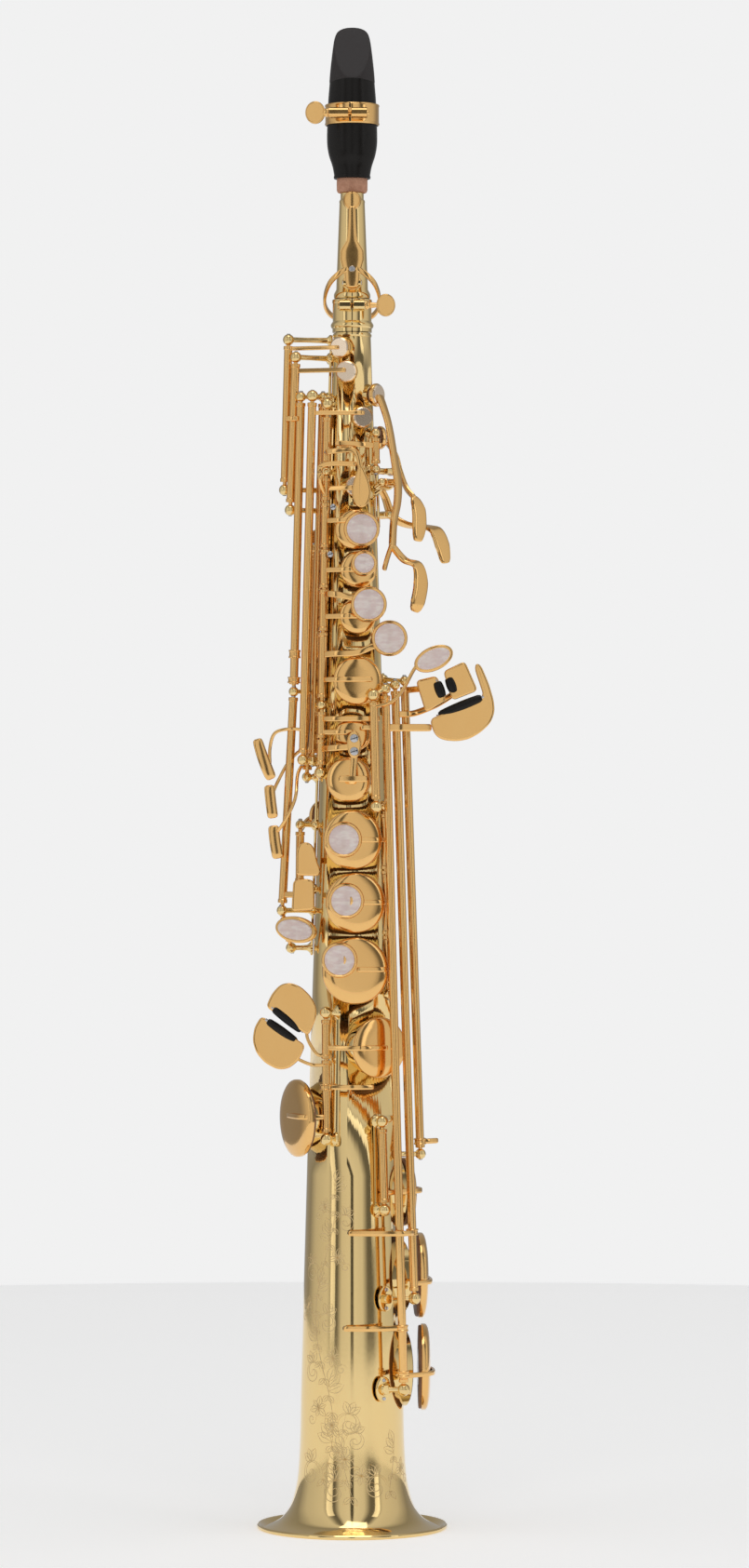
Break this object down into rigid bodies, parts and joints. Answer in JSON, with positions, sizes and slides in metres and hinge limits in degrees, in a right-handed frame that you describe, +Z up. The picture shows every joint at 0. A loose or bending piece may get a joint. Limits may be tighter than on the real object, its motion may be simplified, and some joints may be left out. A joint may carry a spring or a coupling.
{
  "type": "soprano saxophone",
  "caption": "Straight soprano saxophone in lacquered brass with a conical tube, flared bell, short neck, black mouthpiece and sprung pad keys.",
  "frame": {"origin": "under the middle of the bounding box, on the plane of the bell's rim; the tube's axis is upright at x = -0.0108 m, y = 0", "axes": "+Z up the tube from the bell to the mouthpiece, the pearl touches face -Y, the left-hand little-finger table and the palm keys are on the +X side"},
  "size_m": [0.1162, 0.092, 0.7239],
  "materials": {
    "black_ebonite": "polished black hard rubber",
    "cane_reed": "dry matte cane",
    "cork": "matte cork sheet",
    "gold_key_brass": "polished, warmer gold lacquer",
    "lacquered_brass": "polished, clear lacquer over pale yellow brass"
  },
  "bodies": {
    "body": {"body_tube": "lacquered_brass", "left_rib": "lacquered_brass", "low_b_flat_post": "lacquered_brass", "low_b_post": "lacquered_brass", "low_c_rib": "lacquered_brass", "low_c_sharp_rib": "lacquered_brass", "lower_stack_rib": "lacquered_brass", "neck_receiver": "lacquered_brass", "palm_key_rib": "lacquered_brass", "pinky_table_post": "lacquered_brass", "strap_ring": "lacquered_brass", "thumb_hook": "lacquered_brass", "thumb_rest": "black_ebonite", "upper_stack_rib": "lacquered_brass"},
    "neck": {"neck_tube": "lacquered_brass", "neck_cork": "cork"},
    "mouthpiece": {"mouthpiece": "black_ebonite", "reed": "cane_reed", "ligature": "gold_key_brass"},
    "a_key": {"a_key": "gold_key_brass"},
    "b_key": {"b_key": "gold_key_brass"},
    "bis_key": {"bis_key": "gold_key_brass"},
    "body_octave_key": {"body_octave_key": "gold_key_brass"},
    "d_key": {"d_key": "gold_key_brass"},
    "e_key": {"e_key": "gold_key_brass"},
    "f_key": {"f_key": "gold_key_brass"},
    "f_sharp_key": {"f_sharp_key": "gold_key_brass"},
    "f_sharp_trill_key": {"f_sharp_trill_key": "gold_key_brass"},
    "front_f_lever": {"front_f_lever": "gold_key_brass"},
    "g_key": {"g_key": "gold_key_brass"},
    "g_sharp_key": {"g_sharp_key": "gold_key_brass"},
    "g_sharp_lever": {"g_sharp_lever": "gold_key_brass"},
    "high_e_key": {"high_e_key": "gold_key_brass"},
    "high_f_link": {"high_f_link": "gold_key_brass"},
    "high_f_sharp_key": {"high_f_sharp_key": "gold_key_brass"},
    "high_f_sharp_lever": {"high_f_sharp_lever": "gold_key_brass"},
    "high_f_sharp_rod": {"high_f_sharp_rod": "gold_key_brass"},
    "high_g_key": {"high_g_key": "gold_key_brass"},
    "high_g_lever": {"high_g_lever": "gold_key_brass"},
    "ligature_screw": {"ligature_screw": "gold_key_brass"},
    "low_b_flat_key": {"low_b_flat_key": "gold_key_brass"},
    "low_b_flat_roller": {"low_b_flat_roller": "black_ebonite"},
    "low_b_key": {"low_b_key": "gold_key_brass"},
    "low_b_roller": {"low_b_roller": "black_ebonite"},
    "low_c_key": {"low_c_key": "gold_key_brass"},
    "low_c_roller": {"low_c_roller": "black_ebonite"},
    "low_c_sharp_key": {"low_c_sharp_key": "gold_key_brass"},
    "low_c_sharp_lever": {"low_c_sharp_lever": "gold_key_brass"},
    "low_c_sharp_roller": {"low_c_sharp_roller": "black_ebonite"},
    "low_e_flat_key": {"low_e_flat_key": "gold_key_brass"},
    "low_e_flat_roller": {"low_e_flat_roller": "black_ebonite"},
    "neck_clamp_screw": {"neck_clamp_screw": "gold_key_brass"},
    "neck_octave_key": {"neck_octave_key": "gold_key_brass"},
    "octave_thumb_lever": {"octave_thumb_lever": "gold_key_brass"},
    "palm_d_key": {"palm_d_key": "gold_key_brass"},
    "palm_e_flat_key": {"palm_e_flat_key": "gold_key_brass"},
    "palm_f_key": {"palm_f_key": "gold_key_brass"},
    "side_b_flat_key": {"side_b_flat_key": "gold_key_brass"},
    "side_c_key": {"side_c_key": "gold_key_brass"},
    "small_c_key": {"small_c_key": "gold_key_brass"}
  },
  "joints": [
    {"name": "high_g_key_hinge", "type": "hinge", "parent": "body", "child": "high_g_key", "pos_m": [-0.0433, -0.005, 0.5002], "axis": [-0.0263, 0, -0.9997], "range_deg": [0, 7]},
    {"name": "high_f_sharp_key_hinge", "type": "hinge", "parent": "body", "child": "high_f_sharp_key", "pos_m": [-0.0405, -0.009, 0.4903], "axis": [-0.0367, 0, -0.9993], "range_deg": [0, 7]},
    {"name": "palm_f_key_hinge", "type": "hinge", "parent": "body", "child": "palm_f_key", "pos_m": [0.0034, -0.0154, 0.5034], "axis": [0.5391, 0.8423, 0], "range_deg": [0, 4], "stiffness_Nm_per_rad": 0.03, "springref_deg": -22.92},
    {"name": "high_e_key_hinge", "type": "hinge", "parent": "body", "child": "high_e_key", "pos_m": [-0.0344, -0.0145, 0.3702], "axis": [-0.0263, 0.0029, -0.9996], "range_deg": [0, 7], "stiffness_Nm_per_rad": 0.03, "springref_deg": -22.92},
    {"name": "palm_e_flat_key_hinge", "type": "hinge", "parent": "body", "child": "palm_e_flat_key", "pos_m": [0.0094, -0.0012, 0.5095], "axis": [-0.1772, 0.9842, 0], "range_deg": [0, 5], "stiffness_Nm_per_rad": 0.03, "springref_deg": -22.92},
    {"name": "palm_d_key_hinge", "type": "hinge", "parent": "body", "child": "palm_d_key", "pos_m": [0.0088, 0.0094, 0.489], "axis": [-0.6493, 0.7606, 0], "range_deg": [0, 5], "stiffness_Nm_per_rad": 0.03, "springref_deg": -22.92},
    {"name": "small_c_key_hinge", "type": "hinge", "parent": "body", "child": "small_c_key", "pos_m": [-0.0258, -0.017, 0.364], "axis": [0.0175, 0.0141, 0.9997], "range_deg": [0, 9]},
    {"name": "side_c_key_hinge", "type": "hinge", "parent": "body", "child": "side_c_key", "pos_m": [-0.0298, -0.008, 0.3698], "axis": [0.0286, 0.0086, 0.9996], "range_deg": [0, 6], "stiffness_Nm_per_rad": 0.03, "springref_deg": -22.92},
    {"name": "b_key_hinge", "type": "hinge", "parent": "body", "child": "b_key", "pos_m": [-0.0258, -0.017, 0.364], "axis": [0.0175, 0.0141, 0.9997], "range_deg": [0, 9], "stiffness_Nm_per_rad": 0.03, "springref_deg": -22.92},
    {"name": "bis_key_hinge", "type": "hinge", "parent": "body", "child": "bis_key", "pos_m": [-0.0258, -0.017, 0.364], "axis": [0.0175, 0.0141, 0.9997], "range_deg": [0, 9], "stiffness_Nm_per_rad": 0.03, "springref_deg": -22.92},
    {"name": "side_b_flat_key_hinge", "type": "hinge", "parent": "body", "child": "side_b_flat_key", "pos_m": [-0.0326, 0.0003, 0.362], "axis": [0.0309, 0.0064, 0.9995], "range_deg": [0, 7], "stiffness_Nm_per_rad": 0.03, "springref_deg": -22.92},
    {"name": "a_key_hinge", "type": "hinge", "parent": "body", "child": "a_key", "pos_m": [-0.0258, -0.017, 0.364], "axis": [0.0175, 0.0141, 0.9997], "range_deg": [0, 9], "stiffness_Nm_per_rad": 0.03, "springref_deg": -22.92},
    {"name": "g_key_hinge", "type": "hinge", "parent": "body", "child": "g_key", "pos_m": [-0.0258, -0.017, 0.364], "axis": [0.0175, 0.0141, 0.9997], "range_deg": [0, 8], "stiffness_Nm_per_rad": 0.03, "springref_deg": -22.92},
    {"name": "g_sharp_key_hinge", "type": "hinge", "parent": "body", "child": "g_sharp_key", "pos_m": [-0.0258, -0.017, 0.364], "axis": [-0.0175, -0.0141, -0.9997], "range_deg": [0, 4]},
    {"name": "f_sharp_key_hinge", "type": "hinge", "parent": "body", "child": "f_sharp_key", "pos_m": [-0.0258, -0.017, 0.364], "axis": [0.0175, 0.0141, 0.9997], "range_deg": [0, 7]},
    {"name": "f_sharp_trill_key_hinge", "type": "hinge", "parent": "body", "child": "f_sharp_trill_key", "pos_m": [-0.0361, -0.0025, 0.308], "axis": [0.0097, 0, 1], "range_deg": [0, 7], "stiffness_Nm_per_rad": 0.03, "springref_deg": -22.92},
    {"name": "f_key_hinge", "type": "hinge", "parent": "body", "child": "f_key", "pos_m": [0.0065, -0.0174, 0.258], "axis": [0.0189, 0.0122, -0.9997], "range_deg": [0, 7], "stiffness_Nm_per_rad": 0.03, "springref_deg": -22.92},
    {"name": "e_key_hinge", "type": "hinge", "parent": "body", "child": "e_key", "pos_m": [0.0065, -0.0174, 0.258], "axis": [0.0189, 0.0122, -0.9997], "range_deg": [0, 7], "stiffness_Nm_per_rad": 0.03, "springref_deg": -22.92},
    {"name": "d_key_hinge", "type": "hinge", "parent": "body", "child": "d_key", "pos_m": [0.0065, -0.0174, 0.258], "axis": [0.0189, 0.0122, -0.9997], "range_deg": [0, 7], "stiffness_Nm_per_rad": 0.03, "springref_deg": -22.92},
    {"name": "low_e_flat_key_hinge", "type": "hinge", "parent": "body", "child": "low_e_flat_key", "pos_m": [-0.023, -0.022, 0.1887], "axis": [0.005, 0, -1], "range_deg": [0, 4], "stiffness_Nm_per_rad": 0.03, "springref_deg": -22.92},
    {"name": "low_c_key_hinge", "type": "hinge", "parent": "body", "child": "low_c_key", "pos_m": [-0.023, -0.022, 0.1887], "axis": [0.005, 0, -1], "range_deg": [0, 6], "stiffness_Nm_per_rad": 0.03, "springref_deg": -22.92},
    {"name": "low_c_sharp_key_hinge", "type": "hinge", "parent": "body", "child": "low_c_sharp_key", "pos_m": [0.0049, -0.0228, 0.1548], "axis": [0.0283, -0.0071, -0.9996], "range_deg": [0, 4]},
    {"name": "low_b_key_hinge", "type": "hinge", "parent": "body", "child": "low_b_key", "pos_m": [0.0191, -0.018, 0.1121], "axis": [-0.0316, -0.0122, 0.9994], "range_deg": [0, 14], "stiffness_Nm_per_rad": 0.03, "springref_deg": -22.92},
    {"name": "low_b_flat_key_hinge", "type": "hinge", "parent": "body", "child": "low_b_flat_key", "pos_m": [0.014, -0.024, 0.069], "axis": [-0.0263, -0.0045, 0.9996], "range_deg": [0, 12], "stiffness_Nm_per_rad": 0.03, "springref_deg": -22.92},
    {"name": "high_g_lever_hinge", "type": "hinge", "parent": "body", "child": "high_g_lever", "pos_m": [-0.0402, 0.0005, 0.2796], "axis": [-0.2217, -0.2835, 0.933], "range_deg": [0, 7], "stiffness_Nm_per_rad": 0.03, "springref_deg": -22.92},
    {"name": "high_f_sharp_lever_hinge", "type": "hinge", "parent": "body", "child": "high_f_sharp_lever", "pos_m": [-0.0445, -0.005, 0.2977], "axis": [0.0539, -0.0662, 0.9963], "range_deg": [0, 7], "stiffness_Nm_per_rad": 0.03, "springref_deg": -22.92},
    {"name": "high_f_sharp_rod_hinge", "type": "hinge", "parent": "body", "child": "high_f_sharp_rod", "pos_m": [-0.0388, -0.012, 0.403], "axis": [0.0247, 0, 0.9997], "range_deg": [0, 7]},
    {"name": "g_sharp_lever_hinge", "type": "hinge", "parent": "body", "child": "g_sharp_lever", "pos_m": [0.0008, -0.0295, 0.3477], "axis": [-0.0244, 0.0094, 0.9997], "range_deg": [0, 7], "stiffness_Nm_per_rad": 0.03, "springref_deg": -22.92},
    {"name": "low_c_sharp_lever_hinge", "type": "hinge", "parent": "body", "child": "low_c_sharp_lever", "pos_m": [0.0221, -0.005, 0.1805], "axis": [-0.0338, -0.0439, 0.9985], "range_deg": [0, 8], "stiffness_Nm_per_rad": 0.03, "springref_deg": -22.92},
    {"name": "front_f_lever_hinge", "type": "hinge", "parent": "body", "child": "front_f_lever", "pos_m": [-0.0258, -0.017, 0.364], "axis": [0.0175, 0.0141, 0.9997], "range_deg": [0, 7], "stiffness_Nm_per_rad": 0.03, "springref_deg": -22.92},
    {"name": "high_f_link_hinge", "type": "hinge", "parent": "body", "child": "high_f_link", "pos_m": [0.0006, -0.013, 0.5098], "axis": [0, 0, -1], "range_deg": [0, 7]},
    {"name": "octave_thumb_lever_hinge", "type": "hinge", "parent": "body", "child": "octave_thumb_lever", "pos_m": [-0.0176, 0.0194, 0.468], "axis": [0, -0.0191, 0.9998], "range_deg": [0, 5], "stiffness_Nm_per_rad": 0.03, "springref_deg": -22.92},
    {"name": "body_octave_key_hinge", "type": "hinge", "parent": "body", "child": "body_octave_key", "pos_m": [-0.0124, 0.0158, 0.543], "axis": [-1, 0, 0], "range_deg": [0, 5], "stiffness_Nm_per_rad": 0.03, "springref_deg": -22.92},
    {"name": "neck_octave_key_hinge", "type": "hinge", "parent": "neck", "child": "neck_octave_key", "pos_m": [-0.0108, -0.0102, 0.5996], "axis": [1, 0, 0], "range_deg": [0, 4]},
    {"name": "neck_swivel", "type": "hinge", "parent": "body", "child": "neck", "pos_m": [-0.0108, 0, 0.583], "axis": [0, 0, 1], "range_deg": [-10, 10]},
    {"name": "mouthpiece_slide", "type": "slide", "parent": "neck", "child": "mouthpiece", "axis": [0, 0, 1], "range_m": [0, 0.008]},
    {"name": "ligature_screw_turn", "type": "hinge", "parent": "mouthpiece", "child": "ligature_screw", "pos_m": [-0.0108, -0.0148, 0.6807], "axis": [1, 0, 0], "continuous": true},
    {"name": "neck_clamp_screw_turn", "type": "hinge", "parent": "body", "child": "neck_clamp_screw", "pos_m": [-0.0108, -0.0116, 0.5886], "axis": [1, 0, 0], "continuous": true},
    {"name": "low_e_flat_roller_spin", "type": "hinge", "parent": "low_e_flat_key", "child": "low_e_flat_roller", "pos_m": [-0.0417, -0.0204, 0.2458], "axis": [0.79, 0, -0.6131], "continuous": true},
    {"name": "low_c_roller_spin", "type": "hinge", "parent": "low_c_key", "child": "low_c_roller", "pos_m": [-0.0443, -0.0204, 0.2402], "axis": [0.8098, 0, -0.5868], "continuous": true},
    {"name": "low_c_sharp_roller_spin", "type": "hinge", "parent": "low_c_sharp_lever", "child": "low_c_sharp_roller", "pos_m": [0.0311, -0.0246, 0.4037], "axis": [0.3315, 0, -0.9435], "continuous": true},
    {"name": "low_b_roller_spin", "type": "hinge", "parent": "low_b_key", "child": "low_b_roller", "pos_m": [0.0368, -0.0246, 0.4058], "axis": [0.3624, 0, -0.932], "continuous": true},
    {"name": "low_b_flat_roller_spin", "type": "hinge", "parent": "low_b_flat_key", "child": "low_b_flat_roller", "pos_m": [0.041, -0.0246, 0.39565], "axis": [0.9231, 0, 0.3846], "continuous": true}
  ],
  "couplings": [
    {"joint": "small_c_key_hinge", "follows": "b_key_hinge", "ratio": 1},
    {"joint": "f_sharp_key_hinge", "follows": "f_key_hinge", "ratio": 1},
    {"joint": "g_sharp_key_hinge", "follows": "g_sharp_lever_hinge", "ratio": 0.55},
    {"joint": "low_c_sharp_key_hinge", "follows": "low_c_sharp_lever_hinge", "ratio": 0.5},
    {"joint": "high_f_link_hinge", "follows": "front_f_lever_hinge", "ratio": 1},
    {"joint": "high_g_key_hinge", "follows": "high_g_lever_hinge", "ratio": 1},
    {"joint": "high_f_sharp_rod_hinge", "follows": "high_f_sharp_lever_hinge", "ratio": 1},
    {"joint": "high_f_sharp_key_hinge", "follows": "high_f_sharp_lever_hinge", "ratio": 1},
    {"joint": "neck_octave_key_hinge", "follows": "octave_thumb_lever_hinge", "ratio": 0.8}
  ]
}
